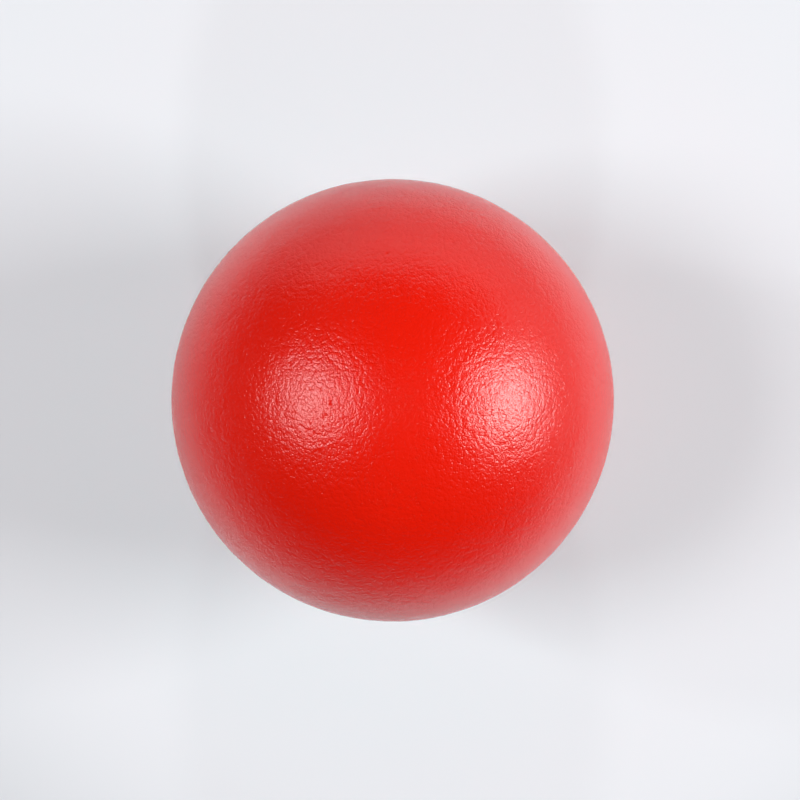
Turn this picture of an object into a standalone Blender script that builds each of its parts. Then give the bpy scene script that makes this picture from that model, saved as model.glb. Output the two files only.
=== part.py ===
"""Coated foam ball: a soft foam core, its sprayed skin and the dab that seals the pin hole.

The origin is the ball's centre, +Z is up, and the ball lies on the small flat that its own
weight presses into it. Run it with: blender --background --python part.py
"""

import math

import bmesh
import bpy

# Driving dimensions, in metres
BALL_DIAMETER = 0.072
SKIN_THICKNESS = 0.0008
GAP = 0.0003  # kept free between pieces that touch on the real ball
RESTING_PATCH_DIAMETER = 0.008  # flat pressed into the soft ball by its own weight
PIN_HOLE_DIAMETER = 0.0026  # left by the pin that held the ball while it was sprayed
PIN_BORE_DEPTH = 0.018  # how far that pin reached into the foam
PIN_BELOW_EQUATOR = math.radians(30)  # the pin hole lies at the back, below the equator
DAB_DIAMETER = 0.005
DAB_CROWN = 0.00045  # thickness of the dab on the pin's axis
DAB_EDGE = 0.00012  # thickness of the dab at its rim
DAB_STEM_REACH = 0.0014  # how far the dab ran into the foam before it set

# Facets of the turned surfaces
OUTER_STEPS = 72
OUTER_RINGS = 36
INNER_STEPS = 48
INNER_RINGS = 24
PIN_STEPS = 24
TIP_RINGS = 4
UNDERSIDE_RINGS = 3
DOME_RINGS = 6
MERGE_DISTANCE = 1e-6
SHARP_EDGE = math.radians(40)

# Sizes that follow from the driving dimensions
BALL_RADIUS = BALL_DIAMETER / 2
PATCH_HEIGHT = math.sqrt(BALL_RADIUS**2 - (RESTING_PATCH_DIAMETER / 2) ** 2)
CAVITY_INSET = SKIN_THICKNESS
CORE_INSET = SKIN_THICKNESS + GAP
CORE_RADIUS = BALL_RADIUS - CORE_INSET
PIN_RADIUS = PIN_HOLE_DIAMETER / 2
STEM_RADIUS = PIN_RADIUS - GAP
DAB_SEAT_RADIUS = BALL_RADIUS + GAP

# Colours are linear
SKIN_RED = (0.79, 0.012, 0.004, 1.0)
DAB_RED = (0.70, 0.010, 0.004, 1.0)
FOAM_CREAM = (0.76, 0.68, 0.50, 1.0)
SKIN_ROUGHNESS = 0.30
DAB_ROUGHNESS = 0.22
FOAM_ROUGHNESS = 0.95


def clear_scene():
    for obj in list(bpy.data.objects):
        bpy.data.objects.remove(obj, do_unlink=True)


def make_material(name, colour, roughness):
    material = bpy.data.materials.new(name)
    material.use_nodes = True
    shader = material.node_tree.nodes["Principled BSDF"]
    shader.inputs["Base Color"].default_value = colour
    shader.inputs["Roughness"].default_value = roughness
    shader.inputs["Metallic"].default_value = 0.0
    return material


def arc(radius, first, last, rings):
    """Points in the XZ half plane on a circle about the origin, by angle above +X."""
    points = []
    for ring in range(rings + 1):
        angle = first + (last - first) * ring / rings
        points.append((radius * math.cos(angle), radius * math.sin(angle)))
    return points


def turned_mesh(name, profile, steps):
    """One closed mesh, turned about Z from a profile that begins and ends on the axis."""
    bm = bmesh.new()
    verts = [bm.verts.new((x, 0.0, z)) for x, z in profile]
    edges = [bm.edges.new(pair) for pair in zip(verts, verts[1:])]
    bmesh.ops.spin(
        bm,
        geom=verts + edges,
        cent=(0, 0, 0),
        axis=(0, 0, 1),
        angle=math.tau,
        steps=steps,
        use_merge=True,
    )
    bmesh.ops.remove_doubles(bm, verts=bm.verts[:], dist=MERGE_DISTANCE)
    bmesh.ops.recalc_face_normals(bm, faces=bm.faces[:])
    mesh = bpy.data.meshes.new(name)
    bm.to_mesh(mesh)
    bm.free()
    mesh.shade_smooth()
    mesh.set_sharp_from_angle(angle=SHARP_EDGE)
    return mesh


def add_object(name, mesh, parent=None):
    obj = bpy.data.objects.new(name, mesh)
    bpy.context.collection.objects.link(obj)
    obj.parent = parent
    return obj


def make_cutter(obj):
    obj.hide_render = True
    obj.display_type = "WIRE"
    return obj


def cut(obj, cutter):
    modifier = obj.modifiers.new(cutter.name, "BOOLEAN")
    modifier.operation = "DIFFERENCE"
    modifier.solver = "EXACT"
    modifier.object = cutter


def ball_profile(inset, rings):
    """Half outline of the ball, drawn in by inset all round, with its resting flat."""
    radius = BALL_RADIUS - inset
    flat_height = PATCH_HEIGHT - inset
    flat_angle = -math.asin(flat_height / radius)
    outline = [(0.0, -flat_height)]
    outline += arc(radius, flat_angle, math.pi / 2, rings)[:-1]
    outline.append((0.0, radius))
    return outline


def dab_profile():
    """Half outline of the sealing dab along the pin's axis, from its tip to its crown."""
    tip_centre = CORE_RADIUS - DAB_STEM_REACH + STEM_RADIUS
    tip = arc(STEM_RADIUS, -math.pi / 2, 0.0, TIP_RINGS)
    outline = [(0.0, tip_centre - STEM_RADIUS)]
    outline += [(x, tip_centre + z) for x, z in tip[1:]]

    rim_radius = DAB_DIAMETER / 2
    seat_start = math.acos(STEM_RADIUS / DAB_SEAT_RADIUS)
    seat_end = math.acos(rim_radius / DAB_SEAT_RADIUS)
    outline += arc(DAB_SEAT_RADIUS, seat_start, seat_end, UNDERSIDE_RINGS)

    for ring in range(DOME_RINGS):
        share = 1.0 - ring / DOME_RINGS  # 1 at the rim, falling to 0 on the axis
        thickness = DAB_EDGE + (DAB_CROWN - DAB_EDGE) * (1.0 - share**2)
        across = rim_radius * share
        seat = math.sqrt(DAB_SEAT_RADIUS**2 - across**2)
        outline.append((across, seat + thickness))
    outline.append((0.0, DAB_SEAT_RADIUS + DAB_CROWN))
    return outline


def pin_profile():
    """Half outline of the spraying pin, from its tip in the foam to outside the skin."""
    inner_end = CORE_RADIUS - PIN_BORE_DEPTH
    outer_end = BALL_RADIUS + SKIN_THICKNESS
    return [(0.0, inner_end), (PIN_RADIUS, inner_end), (PIN_RADIUS, outer_end), (0.0, outer_end)]


def build_pin_axis():
    """Empty at the ball's centre whose +Z runs out along the pin."""
    axis = add_object("pin_axis", None)
    axis.rotation_euler.x = -(math.pi / 2 + PIN_BELOW_EQUATOR)
    return axis


def build_pin_cutter(pin_axis):
    """Stands where the pin stood, to cut its way through the skin and into the core."""
    mesh = turned_mesh("pin_cutter", pin_profile(), PIN_STEPS)
    return make_cutter(add_object("pin_cutter", mesh, pin_axis))


def build_foam_core(pin_cutter):
    """Solid foam ball with the blind bore that the spraying pin left."""
    mesh = turned_mesh("foam_core", ball_profile(CORE_INSET, INNER_RINGS), INNER_STEPS)
    mesh.materials.append(make_material("foam", FOAM_CREAM, FOAM_ROUGHNESS))
    core = add_object("foam_core", mesh)
    cut(core, pin_cutter)
    return core


def build_coated_skin(pin_cutter):
    """Even shell round the core, open only at the pin hole."""
    cavity_mesh = turned_mesh("skin_cavity", ball_profile(CAVITY_INSET, INNER_RINGS), INNER_STEPS)
    cavity = make_cutter(add_object("skin_cavity", cavity_mesh))
    mesh = turned_mesh("coated_skin", ball_profile(0.0, OUTER_RINGS), OUTER_STEPS)
    mesh.materials.append(make_material("skin", SKIN_RED, SKIN_ROUGHNESS))
    skin = add_object("coated_skin", mesh)
    cut(skin, cavity)
    cut(skin, pin_cutter)
    return skin


def build_sealing_dab(pin_axis):
    """Thin domed dab over the pin hole, with the short stem that ran into it."""
    mesh = turned_mesh("sealing_dab", dab_profile(), PIN_STEPS)
    mesh.materials.append(make_material("dab", DAB_RED, DAB_ROUGHNESS))
    return add_object("sealing_dab", mesh, pin_axis)


def main():
    clear_scene()
    pin_axis = build_pin_axis()
    pin_cutter = build_pin_cutter(pin_axis)
    build_foam_core(pin_cutter)
    build_coated_skin(pin_cutter)
    build_sealing_dab(pin_axis)


main()
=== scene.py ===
import math

import bmesh
import bpy
from mathutils import Matrix, Vector, geometry, kdtree, noise


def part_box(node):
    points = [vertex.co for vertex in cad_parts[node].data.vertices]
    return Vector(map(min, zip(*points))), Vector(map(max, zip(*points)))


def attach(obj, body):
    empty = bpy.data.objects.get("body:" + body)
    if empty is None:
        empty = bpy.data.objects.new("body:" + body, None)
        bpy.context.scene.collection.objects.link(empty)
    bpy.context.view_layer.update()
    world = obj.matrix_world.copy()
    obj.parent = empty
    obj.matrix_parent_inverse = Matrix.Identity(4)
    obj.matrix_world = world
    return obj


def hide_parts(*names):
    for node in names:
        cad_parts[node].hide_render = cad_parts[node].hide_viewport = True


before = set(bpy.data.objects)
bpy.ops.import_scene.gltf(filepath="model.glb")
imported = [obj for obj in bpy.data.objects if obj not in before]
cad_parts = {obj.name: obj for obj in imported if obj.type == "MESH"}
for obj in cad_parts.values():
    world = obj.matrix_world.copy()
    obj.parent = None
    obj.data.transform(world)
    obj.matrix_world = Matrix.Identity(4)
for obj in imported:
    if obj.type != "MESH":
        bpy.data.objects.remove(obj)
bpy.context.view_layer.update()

skinLow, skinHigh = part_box("coated_skin")
ballRadius = skinHigh.z  # the frame's origin is the ball's centre
floorHeight = skinLow.z  # the ball lies on the flat under it
mm = 0.001


# Camera on a stand straight above the ball
shot = {
    "side": 800,  # pixels along each side of the frame
    "ballX": 392.75,  # the ball's middle and radius in the frame, in pixels
    "ballY": 400.3,
    "ballR": 221.2,
    "lens": 100.0,  # mm
    "sensor": 36.0,
    "nearClip": 0.01,
    "farClip": 50.0,
}
pixelFocal = shot["lens"] / shot["sensor"] * shot["side"]
cameraRise = ballRadius * math.hypot(1.0, pixelFocal / shot["ballR"])
pixelSize = cameraRise / pixelFocal  # metres a pixel at the ball's middle
cameraX = (shot["side"] / 2 - shot["ballX"]) * pixelSize
cameraY = (shot["ballY"] - shot["side"] / 2) * pixelSize


def setCamera():
    data = bpy.data.cameras.new("standCamera")
    data.lens = shot["lens"]
    data.sensor_width = shot["sensor"]
    data.sensor_fit = "HORIZONTAL"
    data.clip_start = shot["nearClip"]
    data.clip_end = shot["farClip"]
    camera = bpy.data.objects.new("standCamera", data)
    camera.location = (cameraX, cameraY, cameraRise)  # a new camera looks straight down
    bpy.context.scene.collection.objects.link(camera)
    bpy.context.scene.camera = camera
    print("camera", round(cameraRise, 3), "m above the ball's middle")


def pixelToBall(px, py):  # direction from the ball's middle to what the frame shows at a pixel
    start = Vector((cameraX, cameraY, cameraRise))
    half = shot["side"] / 2
    ray = Vector((px - half, half - py, -pixelFocal)).normalized()
    along = -start.dot(ray)
    reach = math.sqrt(max(0.0, ballRadius**2 - (start.length_squared - along**2)))
    return (start + ray * (along - reach)).normalized()


def addPiece(name, bm, material):
    mesh = bpy.data.meshes.new(name)
    bm.to_mesh(mesh)
    bm.free()
    mesh.materials.append(material)
    mesh.shade_smooth()
    piece = bpy.data.objects.new(name, mesh)
    bpy.context.scene.collection.objects.link(piece)
    return piece


def newMaterial(name):
    material = bpy.data.materials.new(name)
    material.use_nodes = True
    nodes = material.node_tree.nodes
    return material, nodes, material.node_tree.links, nodes["Principled BSDF"]


def addNode(nodes, kind, **values):  # values are input sockets or settings of the node
    node = nodes.new(kind)
    for key, value in values.items():
        if key in node.inputs:
            node.inputs[key].default_value = value
        else:
            setattr(node, key, value)
    return node


def mixColours(nodes, links, share, start, end):  # start where the share is 0, end where it is 1
    mix = addNode(nodes, "ShaderNodeMix", data_type="RGBA")
    links.new(share, mix.inputs[0])
    for socket, colour in ((mix.inputs[6], start), (mix.inputs[7], end)):  # its colour sockets
        if isinstance(colour, bpy.types.NodeSocket):
            links.new(colour, socket)
        else:
            socket.default_value = colour
    return mix.outputs[2]  # the mixed colour


def roundCube(bm, cells, radius):  # a cube cut into even cells and blown up to a ball
    made = bmesh.ops.create_cube(bm, size=2.0)
    edges = {edge for vert in made["verts"] for edge in vert.link_edges}
    bmesh.ops.subdivide_edges(bm, edges=list(edges), cuts=cells - 1, use_grid_fill=True)
    for vert in bm.verts:
        if vert.co.length >= 1.0:  # what is there already is far smaller than the new cube
            vert.co = Vector([math.tan(c * math.pi / 4) for c in vert.co]).normalized() * radius


def openPole(bm, radius, holeRadius):  # cuts a round hole about +Z into the ball of this radius
    sameShell = holeRadius / 8  # another shell inside the ball is further off than this
    inside = []
    for face in bm.faces:
        middle = face.calc_center_median()
        onShell = middle.z > 0 and abs(middle.z - radius) < sameShell
        if onShell and middle.xy.length < holeRadius:
            inside.append(face)
    bmesh.ops.delete(bm, geom=inside, context="FACES")
    rim = {vert for edge in openEdges(bm) for vert in edge.verts}
    for vert in rim:
        reach = vert.co.length
        if abs(reach - radius) < sameShell:
            flat = vert.co.xy.normalized() * holeRadius
            vert.co = (flat.x, flat.y, math.sqrt(reach**2 - holeRadius**2))


def openEdges(bm):
    return [edge for edge in bm.edges if edge.is_boundary]


# Where the spraying pin went in, at the back below the equator
pin = {
    "below": math.radians(30),
    "holeRadius": 1.3 * mm,
    "finer": 4.0 * mm,  # the meshes are finer within this distance of the pin
    "cuts": 2,  # cuts in each edge there
}
pinTurn = Matrix.Rotation(-(math.pi / 2 + pin["below"]), 4, "X")  # turns +Z to the pin's side


def finerPole(bm):  # so that the pin hole comes out round
    near = []
    for edge in bm.edges:
        if all(vert.co.z > 0 and vert.co.xy.length < pin["finer"] for vert in edge.verts):
            near.append(edge)
    bmesh.ops.subdivide_edges(bm, edges=near, cuts=pin["cuts"], use_grid_fill=True)


# Sprayed skin
skin = {
    "thickness": 0.8 * mm,
    "outerCells": 114,  # along each edge of the cube
    "innerCells": 40,
    "broadPitch": 4.2 * mm,  # slow swells of the foam under the coat
    "broadDepth": 0.044 * mm,
    "grainPitch": 1.0 * mm,  # orange peel
    "grainDepth": 0.032 * mm,
    "grainShift": Vector((7.3, 1.9, 4.1)),  # so that the two don't line up
}

marks = {  # small faults of the coat, placed by frame pixels
    "pits": (  # with width and depth
        ((331, 403), 0.58 * mm, 0.14 * mm),
        ((341, 193), 0.45 * mm, 0.10 * mm),
        ((379, 209), 0.45 * mm, 0.10 * mm),
        ((387, 254), 0.50 * mm, 0.10 * mm),
        ((453, 243), 0.50 * mm, 0.10 * mm),
    ),
    "folds": (  # with height: a short straight crease, a wavy crease and a low wrinkle
        (((326, 354), (331, 360), (336, 365)), -0.040 * mm),
        (((300, 426), (305, 429), (312, 431), (317, 435), (321, 434)), -0.050 * mm),
        (((301, 445), (308, 449), (318, 448), (328, 445), (338, 441)), 0.024 * mm),
    ),
    "foldWidth": 0.34 * mm,
    "steepness": 2.2,  # how steeply the marks end
    "reach": 0.75 * mm,  # the mesh is finer within this distance
    "cuts": 3,  # cuts in each edge there
    "foldSteps": 3,  # places between two points of a fold where that is measured
}

patches = {  # the skin's own map: six outer squares, six small inner ones and the hole's rim
    "outerWide": 1 / 3,
    "outerHigh": 0.44,
    "outerBase": 0.12,
    "innerWide": 0.15,
    "innerHigh": 0.115,
    "margin": 0.004,
}


def skinSwell(spot):
    broad = noise.noise(spot / skin["broadPitch"])
    grain = noise.noise(spot / skin["grainPitch"] + skin["grainShift"])
    return broad * skin["broadDepth"] + grain * skin["grainDepth"]


def fallOff(distance, width):  # 1 in the middle, a third at half the width, near 0 at all of it
    return math.exp(-((marks["steepness"] * distance / width) ** 2))


def placeMarks():  # the marks' places on the ball, with their sizes
    pits = []
    for pixel, width, depth in marks["pits"]:
        pits.append((pixelToBall(*pixel) * ballRadius, width, depth))
    folds = []
    for line, height in marks["folds"]:
        folds.append(([pixelToBall(*pixel) * ballRadius for pixel in line], height))
    return pits, folds


def markSwell(spot, pits, folds):
    swell = 0.0
    for place, width, depth in pits:
        swell -= depth * fallOff((spot - place).length, width)
    for line, height in folds:
        away = math.inf
        for start, end in zip(line, line[1:]):
            share = geometry.intersect_point_line(spot, start, end)[1]
            away = min(away, (spot - start.lerp(end, min(max(share, 0.0), 1.0))).length)
        swell += height * fallOff(away, marks["foldWidth"])
    return swell


def refineMarks(bm, pits, folds):  # cuts the mesh finer round the marks
    steps = marks["foldSteps"]
    spots = [place for place, width, depth in pits]
    for line, height in folds:
        for start, end in zip(line, line[1:]):
            spots += [start.lerp(end, step / steps) for step in range(steps + 1)]
    edges = bm.edges[:]
    tree = kdtree.KDTree(len(edges))
    for index, edge in enumerate(edges):
        tree.insert((edge.verts[0].co + edge.verts[1].co) / 2, index)
    tree.balance()
    chosen = {index for spot in spots for _, index, _ in tree.find_range(spot, marks["reach"])}
    near = [edges[index] for index in sorted(chosen)]
    bmesh.ops.subdivide_edges(bm, edges=near, cuts=marks["cuts"], use_grid_fill=True)


def cubeSide(spot):  # which side of the cube a spot belongs to: 0 to 5
    axis = max(range(3), key=lambda i: abs(spot[i]))
    return axis * 2 + (spot[axis] < 0)


def sidePlace(spot, side):  # place on that side, both ways from 0 to 1
    axis = side // 2
    across, along = [i for i in range(3) if i != axis]
    depth = abs(spot[axis])
    return [0.5 + math.atan2(spot[i], depth) * 2 / math.pi for i in (across, along)]


def rimPlaces(spots, outside, middle):  # places on the hole's rim, unrolled
    around = math.atan2(middle.y, middle.x)
    places = []
    for spot, out in zip(spots, outside):
        turn = (math.atan2(spot.y, spot.x) - around + math.pi) % math.tau - math.pi
        places.append(((around + turn + math.pi) / math.tau, 1.0 if out else 0.0))
    return places


def layPatches(bm, midRadius):
    layer = bm.loops.layers.uv.new("OFBake")
    turnBack = pinTurn.inverted()
    margin = patches["margin"]
    outerSize = (patches["outerWide"], patches["outerHigh"])
    innerSize = (patches["innerWide"], patches["innerHigh"])
    rimStart = 6 * patches["innerWide"]  # right of the six inner squares
    for face in bm.faces:
        spots = [turnBack @ loop.vert.co for loop in face.loops]
        outside = [spot.length > midRadius for spot in spots]
        middle = sum(spots, Vector()) / len(spots)
        side = cubeSide(middle)
        places = [sidePlace(spot, side) for spot in spots]
        if all(outside):  # three to a row
            row, column = divmod(side, 3)
            corner = (column * outerSize[0], patches["outerBase"] + row * outerSize[1])
            size = outerSize
        elif not any(outside):
            corner = (side * innerSize[0], 0.0)
            size = innerSize
        else:
            corner = (rimStart, 0.0)
            size = (1.0 - rimStart, innerSize[1])
            places = rimPlaces(spots, outside, middle)
        for loop, place in zip(face.loops, places):
            inside = [min(max(share, 0.0), 1.0) for share in place]
            loop[layer].uv = [
                corner[i] + margin + inside[i] * (size[i] - 2 * margin) for i in range(2)
            ]


def makeSkin(material):
    bm = bmesh.new()
    innerRadius = ballRadius - skin["thickness"]
    midRadius = ballRadius - skin["thickness"] / 2
    roundCube(bm, skin["outerCells"], ballRadius)
    roundCube(bm, skin["innerCells"], innerRadius)
    finerPole(bm)
    openPole(bm, ballRadius, pin["holeRadius"])
    openPole(bm, innerRadius, pin["holeRadius"])
    bmesh.ops.bridge_loops(bm, edges=openEdges(bm))
    bm.transform(pinTurn)
    pits, folds = placeMarks()
    refineMarks(bm, pits, folds)
    bmesh.ops.recalc_face_normals(bm, faces=bm.faces[:])
    layPatches(bm, midRadius)
    for vert in bm.verts:
        outside = vert.co.length > midRadius
        if outside:
            spot = vert.co.normalized() * ballRadius
            swell = skinSwell(spot) + markSwell(spot, pits, folds)
            vert.co = spot * (1.0 + swell / ballRadius)
        lowest = floorHeight if outside else floorHeight + skin["thickness"]
        vert.co.z = max(vert.co.z, lowest)  # pressed flat where the ball lies
    piece = addPiece("coated_skin_red", bm, material)
    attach(piece, "root")
    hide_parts("coated_skin")
    print("skin", len(piece.data.polygons), "faces")


redCoat = {
    "light": (0.80, 0.0095, 0.0012, 1.0),
    "deep": (0.76, 0.0085, 0.0012, 1.0),
    "cloudPitch": 14 * mm,  # soft clouds of tone and gloss
    "cloudDetail": 3.0,
    "smooth": 0.25,  # roughness, from the smoother to the duller clouds
    "dull": 0.28,
    "refraction": 1.62,
    "finePitch": 0.28 * mm,  # small pebbles of the sprayed coat
    "fineDepth": 0.038 * mm,
    "coarsePitch": 0.66 * mm,
    "coarseDepth": 0.054 * mm,
    "warp": 0.5,  # how far the pebbles are pulled out of shape, in pitches
    "warpPitch": 1.4,  # pitch of that pull, in pitches of the pebbles
}


def addPebbles(nodes, links, place, pitch):  # rounded grains with narrow creases between them
    pullScale = 1 / (redCoat["warpPitch"] * pitch)
    pull = addNode(nodes, "ShaderNodeTexNoise", Scale=pullScale, Detail=0.0)
    moved = addNode(nodes, "ShaderNodeVectorMath", operation="MULTIPLY_ADD")
    moved.inputs[1].default_value = [redCoat["warp"] * pitch] * 3
    grains = addNode(nodes, "ShaderNodeTexVoronoi", Scale=1 / pitch)
    dome = addNode(nodes, "ShaderNodeMath", operation="MULTIPLY")
    links.new(place.outputs["Object"], pull.inputs["Vector"])
    links.new(pull.outputs["Color"], moved.inputs[0])
    links.new(place.outputs["Object"], moved.inputs[2])
    links.new(moved.outputs["Vector"], grains.inputs["Vector"])
    links.new(grains.outputs["Distance"], dome.inputs[0])  # the distance squared
    links.new(grains.outputs["Distance"], dome.inputs[1])
    return dome.outputs["Value"]


def makeRedCoat():
    material, nodes, links, shader = newMaterial("redCoat")
    place = addNode(nodes, "ShaderNodeTexCoord")
    cloudScale = 1 / redCoat["cloudPitch"]
    cloud = addNode(nodes, "ShaderNodeTexNoise", Scale=cloudScale, Detail=redCoat["cloudDetail"])
    links.new(place.outputs["Object"], cloud.inputs["Vector"])
    tone = mixColours(nodes, links, cloud.outputs["Fac"], redCoat["deep"], redCoat["light"])
    links.new(tone, shader.inputs["Base Color"])
    gloss = addNode(nodes, "ShaderNodeMapRange")
    gloss.inputs["To Min"].default_value = redCoat["smooth"]
    gloss.inputs["To Max"].default_value = redCoat["dull"]
    links.new(cloud.outputs["Fac"], gloss.inputs["Value"])
    links.new(gloss.outputs["Result"], shader.inputs["Roughness"])
    fine = addPebbles(nodes, links, place, redCoat["finePitch"])
    coarse = addPebbles(nodes, links, place, redCoat["coarsePitch"])
    height = addNode(nodes, "ShaderNodeMath", operation="MULTIPLY_ADD")
    height.inputs[1].default_value = redCoat["fineDepth"] / redCoat["coarseDepth"]
    links.new(fine, height.inputs[0])
    links.new(coarse, height.inputs[2])
    bump = addNode(nodes, "ShaderNodeBump", Strength=1.0, Distance=redCoat["coarseDepth"])
    bump.invert = True  # the distance grows towards the creases
    links.new(height.outputs["Value"], bump.inputs["Height"])
    links.new(bump.outputs["Normal"], shader.inputs["Normal"])
    shader.inputs["IOR"].default_value = redCoat["refraction"]
    return material


# Foam core
core = {
    "inset": 1.1 * mm,  # from the ball's outside
    "cells": 60,  # along each edge of the cube
    "boreDepth": 18 * mm,
}


def makeCore(material):
    bm = bmesh.new()
    coreRadius = ballRadius - core["inset"]
    roundCube(bm, core["cells"], coreRadius)
    finerPole(bm)
    openPole(bm, coreRadius, pin["holeRadius"])
    walls = bmesh.ops.extrude_edge_only(bm, edges=openEdges(bm))
    for made in walls["geom"]:
        if isinstance(made, bmesh.types.BMVert):
            made.co.z = coreRadius - core["boreDepth"]
    bmesh.ops.contextual_create(bm, geom=openEdges(bm))
    bmesh.ops.recalc_face_normals(bm, faces=bm.faces[:])
    bm.transform(pinTurn)
    for vert in bm.verts:
        vert.co.z = max(vert.co.z, floorHeight + core["inset"])  # flat as the skin is
    piece = addPiece("foam_core_cream", bm, material)
    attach(piece, "root")
    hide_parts("foam_core")
    print("core", len(piece.data.polygons), "faces")


creamFoam = {
    "deep": (0.46, 0.38, 0.22, 1.0),  # painted shade, darker in the hollows of the cells
    "light": (0.80, 0.72, 0.54, 1.0),  # lighter on the walls between them
    "cellPitch": 1.1 * mm,
    "cellDepth": 0.25 * mm,
    "roughness": 0.95,
}


def makeCreamFoam():
    material, nodes, links, shader = newMaterial("creamFoam")
    place = addNode(nodes, "ShaderNodeTexCoord")
    cells = addNode(nodes, "ShaderNodeTexVoronoi", Scale=1 / creamFoam["cellPitch"])
    links.new(place.outputs["Object"], cells.inputs["Vector"])
    share = cells.outputs["Distance"]
    # painted shade: the tone darkens towards each cell's hollow middle
    tone = mixColours(nodes, links, share, creamFoam["deep"], creamFoam["light"])
    links.new(tone, shader.inputs["Base Color"])
    bump = addNode(nodes, "ShaderNodeBump", Strength=1.0, Distance=creamFoam["cellDepth"])
    links.new(share, bump.inputs["Height"])
    links.new(bump.outputs["Normal"], shader.inputs["Normal"])
    shader.inputs["Roughness"].default_value = creamFoam["roughness"]
    return material


# Dab of coating that seals the pin hole
dab = {
    "radius": 2.5 * mm,
    "crown": 0.7 * mm,  # thickness in the middle and at the edge
    "edge": 0.1 * mm,
    "stemRadius": 1.0 * mm,
    "stemReach": 2.2 * mm,
    "steps": 48,  # around
    "rings": 9,  # from the edge to the middle
    "merge": 0.001 * mm,
}


def ballHeight(across):  # the ball's surface at this distance from the pin's line
    return math.sqrt(ballRadius**2 - across**2)


def makeDab(material):
    bm = bmesh.new()
    stemEnd = ballRadius - dab["stemReach"]
    outline = [
        (0.0, stemEnd),
        (dab["stemRadius"], stemEnd),
        (dab["stemRadius"], ballRadius),
        (dab["radius"], ballHeight(dab["radius"])),
    ]
    for ring in range(dab["rings"]):
        share = 1.0 - ring / dab["rings"]  # 1 at the edge, falling to 0 in the middle
        rise = dab["edge"] + (dab["crown"] - dab["edge"]) * (1.0 - share**2)
        across = dab["radius"] * share
        outline.append((across, ballHeight(across) + rise))
    outline.append((0.0, ballRadius + dab["crown"]))
    verts = [bm.verts.new((x, 0.0, z)) for x, z in outline]
    edges = [bm.edges.new(pair) for pair in zip(verts, verts[1:])]
    bmesh.ops.spin(
        bm,
        geom=verts + edges,
        cent=(0, 0, 0),
        axis=(0, 0, 1),
        angle=math.tau,
        steps=dab["steps"],
        use_merge=True,
    )
    bmesh.ops.remove_doubles(bm, verts=bm.verts[:], dist=dab["merge"])
    bmesh.ops.recalc_face_normals(bm, faces=bm.faces[:])
    bm.transform(pinTurn)
    piece = addPiece("sealing_dab_red", bm, material)
    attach(piece, "root")
    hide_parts("sealing_dab")
    print("dab", len(piece.data.polygons), "faces")


# Floor: a pale paper sheet that fades into a grey table out of the frame; the grey table and the
# sheet's off-centre fade are painted shade, which darkens what the ball mirrors at its rim, more
# on the left and the front
stage = {
    "floorSide": 8.0,
    "floorCells": 8,
    "roughness": 0.7,
    "specular": 0.15,  # matt paper
    "sheetColour": (0.755, 0.78, 0.815, 1.0),
    # the sheet's middle sits off the ball's, so that the painted shade beyond it comes nearer on
    # the left and the front
    "sheetMiddle": (0.015, 0.03, floorHeight),
    "sheetNear": 0.10,  # from its middle, where the sheet begins to fade and where it ends
    "sheetFar": 0.22,
    # painted shade: dark grey beyond the sheet, for the ball's rim to mirror
    "shadeTableColour": (0.20, 0.20, 0.21, 1.0),
    "coolColour": (0.71, 0.80, 0.835, 1.0),  # painted: a cooler tint round the ball, which cancels the red light that the ball throws on the sheet
    "coolMiddle": (0.0, 0.0, floorHeight),
    "coolNear": 0.03,
    "coolFar": 0.08,
}


def addFade(nodes, links, place, middle, near, far):  # 0 within near of the middle, 1 beyond far
    offset = addNode(nodes, "ShaderNodeVectorMath", operation="DISTANCE")
    offset.inputs[1].default_value = middle
    fade = addNode(nodes, "ShaderNodeMapRange", interpolation_type="SMOOTHSTEP")
    fade.inputs["From Min"].default_value = near
    fade.inputs["From Max"].default_value = far
    links.new(place.outputs["Object"], offset.inputs[0])
    links.new(offset.outputs["Value"], fade.inputs["Value"])
    return fade.outputs["Result"]


def makePaleFloor():
    material, nodes, links, shader = newMaterial("paleFloor")
    shader.inputs["Roughness"].default_value = stage["roughness"]
    shader.inputs["Specular IOR Level"].default_value = stage["specular"]
    place = addNode(nodes, "ShaderNodeTexCoord")
    cool = [stage[key] for key in ("coolMiddle", "coolNear", "coolFar")]
    edge = [stage[key] for key in ("sheetMiddle", "sheetNear", "sheetFar")]
    offBall = addFade(nodes, links, place, *cool)
    offSheet = addFade(nodes, links, place, *edge)
    # painted: the sheet turns cooler near the ball, against the red light it throws there
    sheet = mixColours(nodes, links, offBall, stage["coolColour"], stage["sheetColour"])
    # the sheet fades into the painted shade of the grey table
    tone = mixColours(nodes, links, offSheet, sheet, stage["shadeTableColour"])
    links.new(tone, shader.inputs["Base Color"])
    return material


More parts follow.
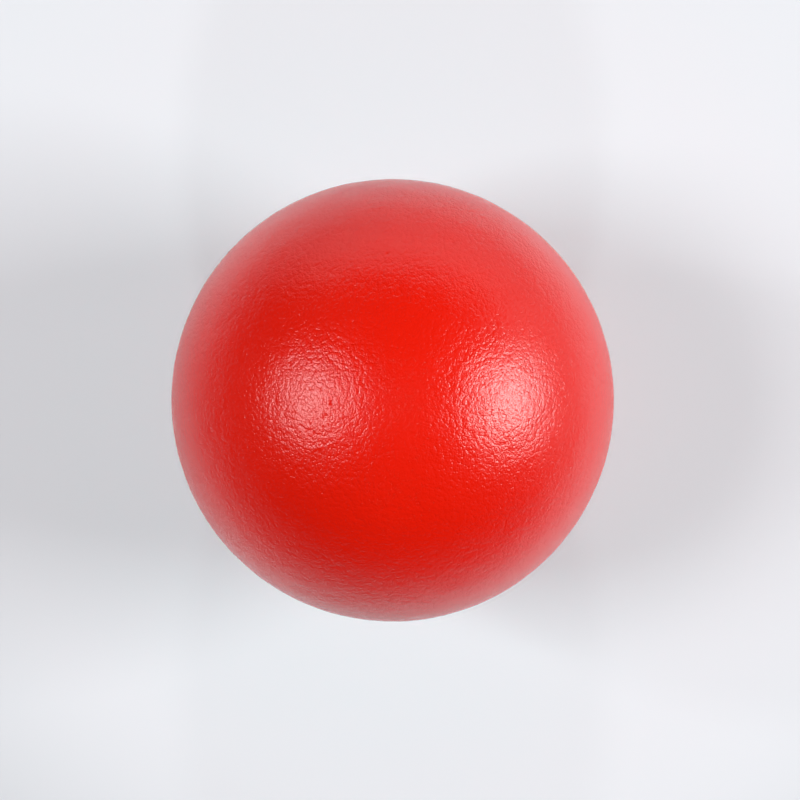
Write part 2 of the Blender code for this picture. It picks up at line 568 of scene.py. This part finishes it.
def makeFloor(material):
    bm = bmesh.new()
    cells = stage["floorCells"]
    bmesh.ops.create_grid(bm, x_segments=cells, y_segments=cells, size=stage["floorSide"] / 2)
    bmesh.ops.translate(bm, verts=bm.verts[:], vec=(0, 0, floorHeight))
    floor = addPiece("pale_floor", bm, material)
    print("floor", stage["floorSide"], "m wide")


# Studio light: azimuth and rise in degrees, distance, width and height in metres, watts
boxLamps = {
    "leftBox": (180, 50.4, 1.2, 0.42, 0.42, 6.0),
    "rightBox": (0, 29.1, 1.2, 0.56, 0.56, 11.4),
    "farCard": (90, 7, 1.0, 1.4, 0.19, 1.6),  # both cards hang clear of the table
    "farRightCard": (35, 7, 1.0, 0.8, 0.19, 0.78),
}
softFills = {  # these light the ball, but it doesn't mirror them
    "overheadFill": (90, 90, 1.2, 0.2, 0.2, 3.6),
    "nearFill": (270, 40, 1.2, 0.12, 0.12, 1.6),
    "farFill": (90, 35, 1.2, 0.12, 0.12, 1.1),
    "leftFill": (165, 30, 1.2, 0.12, 0.12, 1.4),
}
worldColour = (0.015, 0.015, 0.0155, 1.0)


def addLamp(name, azimuth, rise, distance, width, height, watts):
    around = math.radians(azimuth)
    up = math.radians(rise)
    level = math.cos(up)
    direction = Vector((math.cos(around) * level, math.sin(around) * level, math.sin(up)))
    data = bpy.data.lights.new(name, "AREA")
    data.shape = "RECTANGLE"
    data.size = width
    data.size_y = height
    data.energy = watts
    lamp = bpy.data.objects.new(name, data)
    lamp.visible_camera = False  # the lamps stand out of the picture from any side
    lamp.location = direction * distance
    lamp.rotation_mode = "QUATERNION"
    lamp.rotation_quaternion = direction.to_track_quat("Z", "Y")  # it shines along its own -Z
    bpy.context.scene.collection.objects.link(lamp)
    return lamp


def makeLights():
    for name, values in boxLamps.items():
        addLamp(name, *values)
    for name, values in softFills.items():
        addLamp(name, *values).visible_glossy = False
    world = bpy.data.worlds.new("studio")
    world.use_nodes = True
    world.node_tree.nodes["Background"].inputs["Color"].default_value = worldColour
    world.cycles_visibility.glossy = False
    bpy.context.scene.world = world
    print("lights", len(boxLamps) + len(softFills))


def main():
    setCamera()
    makeSkin(makeRedCoat())
    makeCore(makeCreamFoam())
    makeDab(makeRedCoat())
    makeFloor(makePaleFloor())
    makeLights()
    bpy.context.scene.view_settings.view_transform = "Standard"


main()
